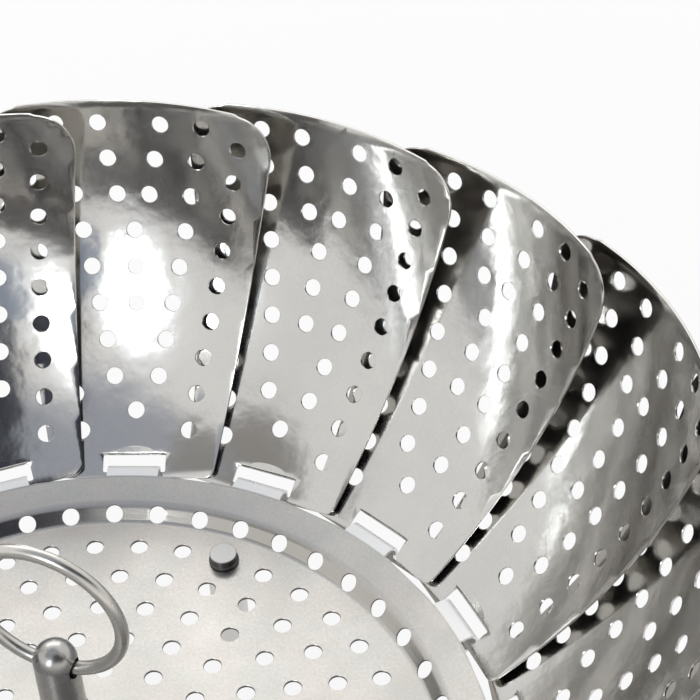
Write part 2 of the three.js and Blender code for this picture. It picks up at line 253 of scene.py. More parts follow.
def petal_blank():
    """The petal's outline as a flat plate with broken edges."""
    bm = bmesh.new()
    top_half = ROOT_HALF_WIDTH + SIDE_SLOPE * PETAL_LENGTH
    places = [(-ROOT_HALF_WIDTH, 0), (ROOT_HALF_WIDTH, 0)]
    places += [(top_half, PETAL_LENGTH), (-top_half, PETAL_LENGTH)]
    corners = [bm.verts.new((x, y, -PETAL_SHEET / 2)) for x, y in places]
    bm.faces.new(corners)
    lean = math.atan(SIDE_SLOPE)
    root_offset = ROOT_CORNER_RADIUS * math.tan(math.pi / 4 - lean / 2)
    top_offset = TOP_CORNER_RADIUS * math.tan(math.pi / 4 + lean / 2)
    rounded(bm, corners[:2], root_offset, ROOT_CORNER_STEPS, "VERTICES")
    rounded(bm, corners[2:], top_offset, TOP_CORNER_STEPS, "VERTICES")
    top = [edge for edge in bm.edges if all(abs(v.co.y - PETAL_LENGTH) < SAME for v in edge.verts)]
    bmesh.ops.subdivide_edges(bm, edges=top, cuts=CROWN_CUTS)
    for corner in bm.verts:
        if abs(corner.co.y - PETAL_LENGTH) < SAME:
            corner.co.y += TOP_CROWN * (1 - (corner.co.x / top_half) ** 2)
    new = bmesh.ops.extrude_face_region(bm, geom=list(bm.faces))["geom"]
    raised = [item for item in new if isinstance(item, bmesh.types.BMVert)]
    bmesh.ops.translate(bm, verts=raised, vec=(0, 0, PETAL_SHEET))
    bmesh.ops.recalc_face_normals(bm, faces=bm.faces)
    sharp = [edge for edge in bm.edges if edge.calc_face_angle() > rad(SHARP_ANGLE)]
    rim = [edge for edge in sharp if is_square_to(edge, 2)]
    rounded(bm, rim, EDGE_BREAK, 2)
    return bm


def hole_places():
    """Middles of the petal's holes in its flat pattern."""
    places = [(0, MIDDLE_HOLE)]
    places += [(0, LOWEST_HOLE + row * HOLE_PITCH) for row in MIDDLE_ROWS]
    for start, slope, rows in zip(COLUMN_STARTS, COLUMN_SLOPES, COLUMN_ROWS):
        for row in rows:
            height = LOWEST_HOLE + row * HOLE_PITCH
            places += [(side * (start + slope * height), height) for side in (1, -1)]
    return places


def window_cutter(cutters):
    """Adds the body that cuts the petal's window."""
    new = bmesh.ops.create_cube(cutters, size=1)["verts"]
    width, height = 2 * WINDOW_HALF_WIDTH, WINDOW_TOP - WINDOW_BOTTOM
    bmesh.ops.scale(cutters, verts=new, vec=(width, height, 4 * PETAL_SHEET))
    bmesh.ops.translate(cutters, verts=new, vec=(0, (WINDOW_TOP + WINDOW_BOTTOM) / 2, 0))
    uprights = {edge for v in new for edge in v.link_edges if not is_square_to(edge, 2)}
    rounded(cutters, list(uprights), WINDOW_CORNER, SOFT_STEPS)


def sliced(bm, low, high, normal, count=0):
    """Cuts the plate along evenly spaced planes, as many as its bending needs if no count is given."""
    count = count or int((high - low) / SLICE)
    for step in range(1, count + 1):
        distance = low + (high - low) * step / (count + 1)
        geometry = list(bm.verts) + list(bm.edges) + list(bm.faces)
        bmesh.ops.bisect_plane(bm, geom=geometry, plane_co=normal * distance, plane_no=normal, dist=SAME)


def lip(point):
    """How far the bent edge over the window lies behind the sheet."""
    above = (WINDOW_TOP + LIP_WIDTH - point.y) / LIP_WIDTH
    beside = (WINDOW_HALF_WIDTH + LIP_WIDTH / 2 - abs(point.x)) / LIP_WIDTH
    if above < 0 or point.y < WINDOW_TOP - WINDOW_CORNER - EDGE_BREAK:
        return 0
    return LIP_DEPTH * min(above, 1) ** 2 * min(max(beside, 0), 1)


def formed(point):
    """Where a point of the flat plate lies on the petal that is centred on +X."""
    share = point.y / PETAL_LENGTH
    slope = rad(ROOT_SLOPE) + point.y / BOWL_RADIUS
    curve = 1 / ROOT_CROSS_RADIUS + share * (1 / TIP_CROSS_RADIUS - 1 / ROOT_CROSS_RADIUS)
    roll = rad(ROOT_ROLL) + share * rad(TIP_TWIST)
    bend = curve * point.x
    normal = Vector((-math.sin(slope), bend + roll, math.cos(slope))).normalized()
    lift = (bend / 2 + roll) * point.x
    reach = BOWL_RADIUS * (math.sin(slope) - math.sin(rad(ROOT_SLOPE)))
    rise = BOWL_RADIUS * (math.cos(rad(ROOT_SLOPE)) - math.cos(slope))
    radius = HINGE_RADIUS - STRIP_MIDDLE * math.cos(rad(ROOT_SLOPE)) + reach - lift * math.sin(slope)
    height = HINGE_HEIGHT - STRIP_MIDDLE * math.sin(rad(ROOT_SLOPE)) + rise + lift * math.cos(slope)
    return Vector((radius, -point.x * (1 - bend**2 / 6), height)) + (point.z - lip(point)) * normal


def formed_petal():
    """One punched and formed petal, centred on +X, with its flat pattern kept as its UV map."""
    cutters = bmesh.new()
    punch = make_punch(HOLE_DIAMETER, PETAL_SHEET)
    for x, y in hole_places():
        add_punch(cutters, punch, Vector((x, y, 0)))
    window_cutter(cutters)
    bm = cut(petal_blank(), cutters)
    top_half = ROOT_HALF_WIDTH + SIDE_SLOPE * PETAL_LENGTH
    across, up = Vector((1, 0, 0)), Vector((0, 1, 0))
    sliced(bm, -top_half, top_half, across)
    sliced(bm, 0, PETAL_LENGTH + TOP_CROWN, up)
    sliced(bm, WINDOW_TOP, WINDOW_TOP + LIP_WIDTH, up, LIP_STEPS)
    sliced(bm, WINDOW_HALF_WIDTH, WINDOW_HALF_WIDTH + LIP_WIDTH, across, 1)
    sliced(bm, -WINDOW_HALF_WIDTH - LIP_WIDTH, -WINDOW_HALF_WIDTH, across, 1)
    flat = [
        edge for edge in bm.edges
        if len(edge.link_faces) == 2 and all(is_level(face) for face in edge.link_faces)
        and not is_square_to(edge, 0) and not is_square_to(edge, 1)
    ]
    bmesh.ops.dissolve_edges(bm, edges=flat, use_verts=False)
    pattern = bm.loops.layers.uv.new("flat_pattern")
    for face in bm.faces:
        for loop in face.loops:
            loop[pattern].uv = (0.5 + loop.vert.co.x / PETAL_LENGTH, loop.vert.co.y / PETAL_LENGTH)
    for vert in bm.verts:
        vert.co = formed(vert.co)
    bmesh.ops.recalc_face_normals(bm, faces=bm.faces)
    return bm


def make_petals(material):
    pattern = formed_petal()
    for number in range(PETAL_COUNT):
        bm = pattern.copy()
        turn = Matrix.Rotation(FULL_TURN * number / PETAL_COUNT, 4, "Z")
        bmesh.ops.transform(bm, matrix=turn, verts=bm.verts)
        name = f"petal_{number + 1:02d}"
        piece = finish_mesh(bm, f"{name}_sheet", material)
        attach(piece, name)
        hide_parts(name)
    pattern.free()


# Base: floor, step, band and tongues
STEP_RADIUS = 60.2 * MM  # of its middle, where the outermost holes are
STEP_WIDTH = 2.4 * MM
STEP_HEIGHT = 2.3 * MM
STEP_FOOT_ROUND = 0.5 * MM
STEP_TOP_ROUND = 0.9 * MM
CREASE_STEPS = 6
RIM_RADIUS = HINGE_RADIUS - 1.8 * MM
CENTRE_HOLE_RADIUS = 2.8 * MM
TONGUE_WIDTH = 9.4 * MM
CURL_INNER_RADIUS = 1.306 * MM
CURL_SWEEP = 255
CURL_STEPS = 14
SECTOR_STEPS = 20
RING_PITCH = 7 * MM
OUTER_RING_HOLES = 48
HOLES_LESS_PER_RING = 6
RING_COUNT = 7
FOOT_RING = 1  # the ring in which each foot takes a hole's place
FOOT_COUNT = 3
FIRST_FOOT = 60


def base_profile():
    """The base's sheet from the axis to the rim and back, as (radius, height) points."""
    rim_top = HINGE_HEIGHT + CURL_INNER_RADIUS + BASE_SHEET
    top = [
        (0, FLOOR_TOP),
        (STEP_RADIUS - STEP_WIDTH / 2, FLOOR_TOP),
        (STEP_RADIUS + STEP_WIDTH / 2, FLOOR_TOP + STEP_HEIGHT),
        (RIM_RADIUS, rim_top),
    ]
    return top + [(radius, height - BASE_SHEET) for radius, height in reversed(top)]


def is_crease(edge, radius):
    """True for the edges of a ring round the base."""
    return all(abs(math.hypot(v.co.x, v.co.y) - radius) < SAME for v in edge.verts)


def flatten_rim(bm):
    """Gives the sector's rim a straight flat along the petal's hinge and half of one at each end."""
    for vert in bm.verts:
        radius = math.hypot(vert.co.x, vert.co.y)
        if radius > RIM_RADIUS - 10 * SAME:
            azimuth = abs(math.atan2(vert.co.y, vert.co.x))
            from_flat = min(azimuth, FULL_TURN / PETAL_COUNT / 2 - azimuth)
            vert.co.xy *= RIM_RADIUS / math.cos(from_flat) / radius


def curl_tongue(bm):
    """Extrudes the tongue on +X out of the rim and curls it round its hinge axis."""
    rim = [face for face in bm.faces if all(v.co.x > RIM_RADIUS - 10 * SAME for v in face.verts)]
    ends = extruded(bm, [face for face in rim if abs(face.calc_center_median().y) < TONGUE_WIDTH / 2])
    for vert in {v for face in ends for v in face.verts}:
        vert.co.x = HINGE_RADIUS
    turn = Matrix.Rotation(rad(CURL_SWEEP) / CURL_STEPS, 3, "Y")
    for _ in range(CURL_STEPS):
        ends = extruded(bm, ends)
        verts = list({v for face in ends for v in face.verts})
        bmesh.ops.rotate(bm, verts=verts, cent=(HINGE_RADIUS, 0, HINGE_HEIGHT), matrix=turn)


def extruded(bm, faces):
    """Extrudes faces in place, and returns the ones at the new end."""
    new = bmesh.ops.extrude_face_region(bm, geom=faces)["geom"]
    bmesh.ops.delete(bm, geom=faces, context="FACES")
    return [item for item in new if isinstance(item, bmesh.types.BMFace)]


def base_blank():
    """The base without its holes: one sector with its tongue, repeated round the axis."""
    bm = bmesh.new()
    sector = FULL_TURN / PETAL_COUNT
    swept(bm, base_profile(), sector, SECTOR_STEPS)
    weld(bm)
    half = STEP_WIDTH / 2
    for radius, offset in ((STEP_RADIUS - half, STEP_FOOT_ROUND), (STEP_RADIUS + half, STEP_TOP_ROUND)):
        crease = [edge for edge in bm.edges if is_crease(edge, radius)]
        rounded(bm, crease, offset, CREASE_STEPS)
    flatten_rim(bm)
    curl_tongue(bm)
    whole = list(bm.verts) + list(bm.edges) + list(bm.faces)
    bmesh.ops.spin(
        bm, geom=whole, axis=(0, 0, 1), cent=(0, 0, 0), angle=FULL_TURN, steps=PETAL_COUNT,
        use_duplicate=True,
    )
    weld(bm)
    for height in (FLOOR_TOP, FLOOR_TOP - BASE_SHEET):
        floor = [face for face in bm.faces if all(abs(v.co.z - height) < SAME for v in face.verts)]
        bmesh.ops.dissolve_faces(bm, faces=floor)
    return bm


def base_cutters():
    """The punches of the post's hole and of the rings of holes."""
    cutters = bmesh.new()
    sheet_middle = Vector((0, 0, FLOOR_TOP - BASE_SHEET / 2))
    add_punch(cutters, make_punch(2 * CENTRE_HOLE_RADIUS, BASE_SHEET), sheet_middle)
    floor_punch = make_punch(HOLE_DIAMETER, BASE_SHEET)
    step_punch = make_punch(HOLE_DIAMETER, STEP_HEIGHT)
    step_turn = math.atan2(STEP_HEIGHT, STEP_WIDTH) / 2
    for ring in range(RING_COUNT):
        holes = OUTER_RING_HOLES - ring * HOLES_LESS_PER_RING
        for hole in range(holes):
            if ring == FOOT_RING and hole % (holes // FOOT_COUNT) == 0:
                continue
            azimuth = rad(FIRST_FOOT) + FULL_TURN * hole / holes
            out = Vector((math.cos(azimuth), math.sin(azimuth), 0))
            place = out * (STEP_RADIUS - ring * RING_PITCH) + sheet_middle
            if ring > 0:
                add_punch(cutters, floor_punch, place)
                continue
            place.z += STEP_HEIGHT / 2
            upright = Vector((0, 0, math.cos(step_turn)))
            add_punch(cutters, step_punch, place, upright - out * math.sin(step_turn))
    return cutters


def mark_hole_walls(bm):
    """Marks the sheared walls of the holes, which are the base's only upright faces inside its rim, so
    that they can be painted in shade.
    """
    wall = bm.faces.layers.float.new("hole_wall")
    for face in bm.faces:
        middle = face.calc_center_median()
        if abs(face.normal.z) < 0.5 and math.hypot(middle.x, middle.y) < RIM_RADIUS - BASE_SHEET:
            face[wall] = 1


def make_base(material):
    bm = cut(base_blank(), base_cutters())
    mark_hole_walls(bm)
    piece = finish_mesh(bm, "base_sheet", material)
    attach(piece, "base")
    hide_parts("base_plate")


# Turned pieces: feet, post and nut
TURN_STEPS = 48
FLOOR_BOTTOM = FLOOR_TOP - BASE_SHEET
FOOT_RADIUS = STEP_RADIUS - FOOT_RING * RING_PITCH  # from the axis
PEG_RADIUS = 3.2 * MM
PEG_TIP_ROUND = 1.2 * MM
SHOULDER_RADIUS = 4.5 * MM
SHOULDER_HEIGHT = 1.2 * MM
SHANK_RADIUS = 1.8 * MM
HEAD_RADIUS = 2.4 * MM
HEAD_HEIGHT = 2.1 * MM
FLANGE_RADIUS = 2.65 * MM
FLANGE_HEIGHT = 0.65 * MM
SEAT_GAP = 0.3 * MM
EDGE_ROUND = 0.18 * MM
POST_RADIUS = 3.5 * MM
POST_CROWN = 4.2 * MM
COLLAR_RADIUS = 7.5 * MM
COLLAR_HEIGHT = 1.8 * MM
STUD_RADIUS = 2.5 * MM
STUD_LENGTH = 6.5 * MM
THREAD_DEPTH = 0.35 * MM
THREAD_PITCH = 0.8 * MM
THREAD_FOOT = 0.45 * THREAD_PITCH  # half the width of its ridge at the stud
EYE_DIAMETER = 3.4 * MM
NUT_ACROSS_FLATS = 8 * MM
NUT_HEIGHT = 3.6 * MM
RING_RADIUS = 12.6 * MM
WIRE_RADIUS = 1.1 * MM
RING_STEPS = 96
WIRE_STEPS = 20


def arc(middle, radius, start, end, steps=6):
    """Points of a round stretch of a profile, from one angle to another."""
    angles = [rad(start + (end - start) * step / steps) for step in range(steps + 1)]
    across, up = middle
    return [(across + radius * math.cos(angle), up + radius * math.sin(angle)) for angle in angles]


def make_feet(material):
    """Three pegs: a rounded tip, a shoulder under the floor, a shank through it and a head on top."""
    shoulder_top = FLOOR_BOTTOM - SEAT_GAP
    shoulder_low = shoulder_top - SHOULDER_HEIGHT
    seat = FLOOR_TOP + SEAT_GAP / 2
    flange_top = FLOOR_TOP + FLANGE_HEIGHT
    head_top = FLOOR_TOP + HEAD_HEIGHT
    profile = [(0, 0), *arc((PEG_RADIUS - PEG_TIP_ROUND, PEG_TIP_ROUND), PEG_TIP_ROUND, -90, 0)]
    profile += [(PEG_RADIUS, shoulder_low), (SHOULDER_RADIUS, shoulder_low)]
    profile += [(SHOULDER_RADIUS, shoulder_top), (SHANK_RADIUS, shoulder_top)]
    profile += [(SHANK_RADIUS, seat), (FLANGE_RADIUS, seat)]
    profile += [(FLANGE_RADIUS, flange_top), (HEAD_RADIUS, flange_top)]
    profile += [(HEAD_RADIUS, head_top), (0, head_top)]
    foot = turned(profile, TURN_STEPS)
    softened(foot, EDGE_ROUND)
    for number in range(FOOT_COUNT):
        bm = foot.copy()
        azimuth = rad(FIRST_FOOT) + FULL_TURN * number / FOOT_COUNT
        place = (FOOT_RADIUS * math.cos(azimuth), FOOT_RADIUS * math.sin(azimuth), 0)
        bmesh.ops.translate(bm, verts=bm.verts, vec=place)
        name = f"peg_foot_{number + 1}"
        piece = finish_mesh(bm, f"{name}_turned", material)
        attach(piece, "base")
        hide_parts(name)
    foot.free()


def make_post(material):
    """The post: a threaded stud, a collar, a rod and the eye that the ring hangs in."""
    seat = FLOOR_TOP + SEAT_GAP / 2
    collar_top = FLOOR_TOP + COLLAR_HEIGHT
    top = EYE_HEIGHT + POST_CROWN
    core = STUD_RADIUS - THREAD_DEPTH
    low = FLOOR_TOP - STUD_LENGTH
    profile = [(0, low), (core - THREAD_DEPTH, low), (core, low + THREAD_DEPTH), (core, seat)]
    profile += [(COLLAR_RADIUS, seat), (COLLAR_RADIUS, FLOOR_TOP + COLLAR_HEIGHT / 2)]
    profile += [((POST_RADIUS + COLLAR_RADIUS) / 2, collar_top), (POST_RADIUS, collar_top)]
    profile += arc((0, top - POST_RADIUS), POST_RADIUS, 0, 90, 12)
    post = turned(profile[:-1] + [(0, top)], TURN_STEPS)
    softened(post, EDGE_ROUND)
    cutters = bmesh.new()
    turn = rad(RING_AZIMUTH)
    along = Vector((math.cos(turn), math.sin(turn), 0))
    add_punch(cutters, make_punch(EYE_DIAMETER, 2 * POST_RADIUS), Vector((0, 0, EYE_HEIGHT)), along)
    bm = cut(post, cutters)
    add_thread(bm, core, low + THREAD_PITCH, FLOOR_TOP - THREAD_PITCH)
    piece = finish_mesh(bm, "post_turned", material)
    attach(piece, "base")
    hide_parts("centre_post")


def add_thread(bm, core, low, high):
    """Winds the thread's ridge round the stud."""
    crest = THREAD_FOOT / 4
    inside = core - THREAD_DEPTH / 2
    ridge = [(inside, -THREAD_FOOT), (STUD_RADIUS, -crest)]
    ridge += [(STUD_RADIUS, crest), (inside, THREAD_FOOT)]
    corners = [bm.verts.new((radius, 0, low + height)) for radius, height in ridge]
    face = bm.faces.new(corners)
    turns = (high - low) / THREAD_PITCH
    steps = int(turns * TURN_STEPS / 2)
    rise = (0, 0, (high - low) / steps)
    geometry = [face, *face.edges, *corners]
    bmesh.ops.spin(
        bm, geom=geometry, axis=(0, 0, 1), cent=(0, 0, 0), dvec=rise, angle=turns * FULL_TURN,
        steps=steps,
    )
    bmesh.ops.recalc_face_normals(bm, faces=bm.faces)


def make_nut(material):
    """The nut under the floor."""
    middle = Vector((0, 0, FLOOR_BOTTOM - SEAT_GAP - NUT_HEIGHT / 2))
    bm = bmesh.new()
    corner_radius = NUT_ACROSS_FLATS / math.sqrt(3)
    bmesh.ops.create_cone(
        bm, cap_ends=True, segments=6, radius1=corner_radius, radius2=corner_radius, depth=NUT_HEIGHT,
    )
    bmesh.ops.rotate(bm, verts=bm.verts, cent=(0, 0, 0), matrix=Matrix.Rotation(math.pi / 6, 3, "Z"))
    bmesh.ops.translate(bm, verts=bm.verts, vec=middle)
    softened(bm, EDGE_ROUND * 2)
    cutters = bmesh.new()
    add_punch(cutters, make_punch(2 * (STUD_RADIUS + EDGE_BREAK), NUT_HEIGHT), middle)
    bm = cut(bm, cutters)
    piece = finish_mesh(bm, "nut_chamfered", material)
    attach(piece, "base")
    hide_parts("post_nut")


def make_ring(material):
    """The lift ring, hanging upright from the post's eye."""
    bm = bmesh.new()
    wire = bmesh.ops.create_circle(bm, segments=WIRE_STEPS, radius=WIRE_RADIUS)["verts"]
    bmesh.ops.translate(bm, verts=wire, vec=(RING_RADIUS, 0, 0))
    geometry = list(bm.verts) + list(bm.edges)
    bmesh.ops.spin(bm, geom=geometry, axis=(0, 1, 0), cent=(0, 0, 0), angle=FULL_TURN, steps=RING_STEPS)
    weld(bm)
    sag = RING_RADIUS - math.sqrt(RING_RADIUS**2 - POST_RADIUS**2)
    turn = Matrix.Rotation(rad(RING_AZIMUTH), 4, "Z")
    place = Matrix.Translation((0, 0, EYE_HEIGHT + RING_RADIUS - sag / 2))
    bmesh.ops.transform(bm, matrix=place @ turn, verts=bm.verts)
    piece = finish_mesh(bm, "ring_wire", material)
    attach(piece, "lift_ring")
    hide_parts("lift_ring")


# Node helpers

def put(tree, kind, values=None, **settings):
    """Adds a node, makes its settings, and fills or links its input sockets."""
    node = tree.nodes.new(kind)
    for name, value in settings.items():
        setattr(node, name, value)
    for socket, value in (values or {}).items():
        if isinstance(value, bpy.types.NodeSocket):
            tree.links.new(value, node.inputs[socket])
        else:
            node.inputs[socket].default_value = value
    return node


def sums(tree, operation, *values, clamp=False):
    """A Math node's result."""
    node = put(tree, "ShaderNodeMath", dict(enumerate(values)), operation=operation, use_clamp=clamp)
    return node.outputs[0]


def vector_sum(tree, operation, first, second=None):
    """A Vector Math node, with one or two vectors."""
    values = {0: first} if second is None else {0: first, 1: second}
    return put(tree, "ShaderNodeVectorMath", values, operation=operation).outputs


def ramp(tree, value, start, end, **settings):
    """Goes from 0 to 1 while the value goes from start to end."""
    ends = {"Value": value, "From Min": start, "From Max": end}
    return put(tree, "ShaderNodeMapRange", ends, **settings).outputs["Result"]


def node_group(name, inputs, outputs):
    """An empty shader node group with named sockets, and its input and output nodes."""
    tree = bpy.data.node_groups.new(name, "ShaderNodeTree")
    for socket, kind, value in inputs:
        item = tree.interface.new_socket(socket, in_out="INPUT", socket_type=f"NodeSocket{kind}")
        if value is not None:
            item.default_value = value
    for socket, kind in outputs:
        tree.interface.new_socket(socket, in_out="OUTPUT", socket_type=f"NodeSocket{kind}")
    return tree, tree.nodes.new("NodeGroupInput").outputs, tree.nodes.new("NodeGroupOutput")


def use(tree, group, **values):
    """Puts a group into a material, and returns its outputs."""
    node = tree.nodes.new("ShaderNodeGroup")
    node.node_tree = group
    for name, value in values.items():
        socket = node.inputs[name.replace("_", " ")]
        if isinstance(value, bpy.types.NodeSocket):
            tree.links.new(value, socket)
        else:
            socket.default_value = value
    return node.outputs


def new_material(name):
    material = bpy.data.materials.new(name)
    material.use_nodes = True
    return material, material.node_tree, material.node_tree.nodes["Principled BSDF"]


def new_steel(name):
    """A metal material, its nodes, its shader and the place on the object."""
    material, tree, shader = new_material(name)
    shader.inputs["Metallic"].default_value = 1
    return material, tree, shader, put(tree, "ShaderNodeTexCoord").outputs["Object"]


# Shared effects

def squares(tree, first, second):
    """The sum of two values' squares."""
    return sums(tree, "ADD", sums(tree, "MULTIPLY", first, first), sums(tree, "MULTIPLY", second, second))


def smudge_group():
    """Soft cloudy patches, such as wiping leaves on steel."""
    inputs = [("Place", "Vector", None), ("Size", "Float", 0.01), ("Contrast", "Float", 0.2)]
    tree, given, result = node_group("smudges", inputs, [("Mask", "Float")])
    scale = sums(tree, "DIVIDE", 1.0, given["Size"])
    detail = {"Detail": 5.0, "Roughness": 0.55}
    cloud = put(tree, "ShaderNodeTexNoise", {"Vector": given["Place"], "Scale": scale, **detail})
    low = sums(tree, "SUBTRACT", 0.5, given["Contrast"])
    high = sums(tree, "ADD", 0.5, given["Contrast"])
    tree.links.new(ramp(tree, cloud.outputs["Fac"], low, high), result.inputs["Mask"])
    return tree


def grain_group():
    """Fine lines that rolling leaves along a sheet, as a height in millimetres."""
    inputs = [
        ("Place", "Vector", None), ("Stretch", "Vector", (1, 1, 1)),
        ("Line Width", "Float", 0.0002), ("Depth", "Float", 0.001),
    ]
    tree, given, result = node_group("rolled_grain", inputs, [("Height", "Float")])
    place = vector_sum(tree, "MULTIPLY", given["Place"], given["Stretch"])[0]
    scale = sums(tree, "DIVIDE", 1.0, given["Line Width"])
    lines = put(tree, "ShaderNodeTexNoise", {"Vector": place, "Scale": scale, "Detail": 3.0})
    tree.links.new(sums(tree, "MULTIPLY", lines.outputs["Fac"], given["Depth"]), result.inputs["Height"])
    return tree


def dimple_group():
    """The sheet drawn in round the punched holes of one pair of columns, as a height in millimetres."""
    inputs = [
        ("Across", "Float", 0.0), ("Along", "Float", 0.0), ("Column Start", "Float", 0.0),
        ("Column Slope", "Float", 0.2), ("First Row", "Float", 0.0), ("Depth", "Float", DIMPLE_DEPTH),
        ("Reach", "Float", DIMPLE_REACH),
    ]
    tree, given, result = node_group("hole_dimples", inputs, [("Height", "Float")])
    column = sums(tree, "MULTIPLY_ADD", given["Along"], given["Column Slope"], given["Column Start"])
    beside = sums(tree, "SUBTRACT", sums(tree, "ABSOLUTE", given["Across"]), column)
    row = sums(tree, "DIVIDE", sums(tree, "SUBTRACT", given["Along"], LOWEST_HOLE / MM), HOLE_PITCH / MM)
    late = sums(tree, "SUBTRACT", row, given["First Row"])
    off = sums(tree, "SUBTRACT", sums(tree, "FRACT", sums(tree, "ADD", late, 0.5)), 0.5)
    above = sums(tree, "MULTIPLY", off, HOLE_PITCH / MM)
    away = sums(tree, "SQRT", squares(tree, beside, above))
    near = sums(tree, "SUBTRACT", 1.0, sums(tree, "DIVIDE", away, given["Reach"]), clamp=True)
    real = sums(tree, "GREATER_THAN", late, -0.5)
    deepest = sums(tree, "MULTIPLY", real, given["Depth"])
    depth = sums(tree, "MULTIPLY", sums(tree, "MULTIPLY", near, near), deepest)
    tree.links.new(sums(tree, "MULTIPLY", depth, -1.0), result.inputs["Height"])
    return tree


SMUDGES = smudge_group()
GRAIN = grain_group()
DIMPLES = dimple_group()


def noise(tree, place, size, detail=2.0):
    """Cloudy values from 0 to 1, with patches of about the given size."""
    cloud = put(tree, "ShaderNodeTexNoise", {"Vector": place, "Scale": 1 / size, "Detail": detail})
    return cloud.outputs["Fac"]


def uneven(tree, place, size, depth, detail=2.0):
    """An uneven surface, as a height in millimetres."""
    return sums(tree, "MULTIPLY", noise(tree, place, size, detail), depth)


def spots(tree, place, size, gain, offset):
    """A mask of small spots."""
    return sums(tree, "MULTIPLY_ADD", noise(tree, place, size, 3.0), gain, offset)


def total(tree, heights):
    result = heights[0]
    for height in heights[1:]:
        result = sums(tree, "ADD", result, height)
    return result


def bumped(tree, shader, height):
    """Gives the shader a bump from a height in millimetres."""
    bump = put(tree, "ShaderNodeBump", {"Strength": 1.0, "Distance": MM, "Height": height})
    tree.links.new(bump.outputs["Normal"], shader.inputs["Normal"])


def mixed_colour(tree, mask, colour, other):
    mix = put(tree, "ShaderNodeMix", {0: mask, 6: colour, 7: other}, data_type="RGBA", blend_type="MIX")
    return mix.outputs[2]


def mixed_number(tree, mask, number, other):
    return put(tree, "ShaderNodeMix", {0: mask, 2: number, 3: other}, data_type="FLOAT").outputs[0]


def band_mask(tree, value, middle, width):
    """A soft mask of a band of values."""
    away = sums(tree, "ABSOLUTE", sums(tree, "SUBTRACT", value, middle))
    return ramp(tree, away, width * BAND_START, width * BAND_FULL)


def shaded(tree, shader, mask, finish, worn):
    """Mixes two finishes, each a colour and a roughness, by a mask."""
    tree.links.new(mixed_colour(tree, mask, finish[0], worn[0]), shader.inputs["Base Color"])
    tree.links.new(mixed_number(tree, mask, finish[1], worn[1]), shader.inputs["Roughness"])


# Finishes and painted light and shade, each a colour and a roughness, and the marks on them
PETAL_FINISH = ((0.62, 0.605, 0.575, 1), 0.11)
PETAL_WIPED = ((0.575, 0.565, 0.545, 1), 0.17)
BASE_FINISH = ((0.655, 0.62, 0.585, 1), 0.26)
BASE_WIPED = ((0.56, 0.53, 0.50, 1), 0.36)
COOL_COLOUR = (0.615, 0.61, 0.575, 1)  # patches of the base have a cooler tone
COOL_WIPED_COLOUR = (0.53, 0.525, 0.495, 1)
# Painted highlight: the tongues are coloured near white and made partly non-metal, so that they look lit
TONGUE_PAINTED_HIGHLIGHT = ((0.96, 0.955, 0.945, 1), 0.4)
TONGUE_ROOT = 66.9 * MM  # from here a tongue rises over the strip of its petal
TONGUE_HIGHLIGHT_STARTS = 67.0 * MM
TONGUE_HIGHLIGHT_FULL = 67.4 * MM
TONGUE_RISE = 0.3
TONGUE_HIGHLIGHT_DIFFUSE_SHARE = 0.6  # the share of a tongue's painted highlight that is plain diffuse white instead of metal
# Painted shade: the step's face is coloured darker than the rest of the base
STEP_PAINTED_SHADE = ((0.46, 0.44, 0.405, 1), 0.20)
# Painted shade: the base's hole walls are coloured near black
HOLE_WALL_PAINTED_SHADE = ((0.12, 0.115, 0.11, 1), 0.5)
HEAD_FINISH = ((0.46, 0.46, 0.455, 1), 0.3)
# Painted shade: the side of each foot's head is coloured near black
HEAD_SIDE_PAINTED_SHADE = ((0.13, 0.125, 0.12, 1), 0.3)
PEG_FINISH = ((0.62, 0.61, 0.59, 1), 0.28)
ROD_FINISH = ((0.50, 0.49, 0.47, 1), 0.22)
ROD_WIPED = ((0.40, 0.39, 0.375, 1), 0.34)
WIRE_FINISH = ((0.66, 0.64, 0.60, 1), 0.24)
WIRE_WIPED = ((0.58, 0.56, 0.52, 1), 0.36)
# How uneven a surface is: the size of its patches, and their depth in millimetres
PETAL_WAVE = (11 * MM, 0.13)
PETAL_RIPPLE = (3.5 * MM, 0.035)
BASE_WAVE = (14 * MM, 0.15)
BASE_SPECKLE = (0.5 * MM, 0.006)
HEAD_SPECKLE = (0.6 * MM, 0.01)
STOCK_WAVE = (3 * MM, 0.004)
# Small spots: their size, and the gain and the offset that make a mask of them
PETAL_SCUFFS = (0.4 * MM, 1.6, -0.8)
BASE_MOTTLE = (0.5 * MM, 1.7, -0.45)
TINT_PATCH = 9 * MM
BAND_START = 0.55  # where a band's mask starts and is full, as shares of its width from its middle
BAND_FULL = 0.3
ALONG_STOCK = (0.05, 0.05, 1)  # stretches the lines on round stock


def tool_mark(tree, across, along):
    """The low swelling that the punch leaves over the window, as a height in millimetres."""
    beside = sums(tree, "DIVIDE", across, MARK_HALF_WIDTH / MM)
    above = sums(tree, "SUBTRACT", along, (WINDOW_TOP + LIP_WIDTH) / MM)
    above = sums(tree, "DIVIDE", above, MARK_HEIGHT / MM)
    near = sums(tree, "SUBTRACT", 1.0, squares(tree, beside, above), clamp=True)
    return sums(tree, "MULTIPLY", near, MARK_DEPTH / MM)


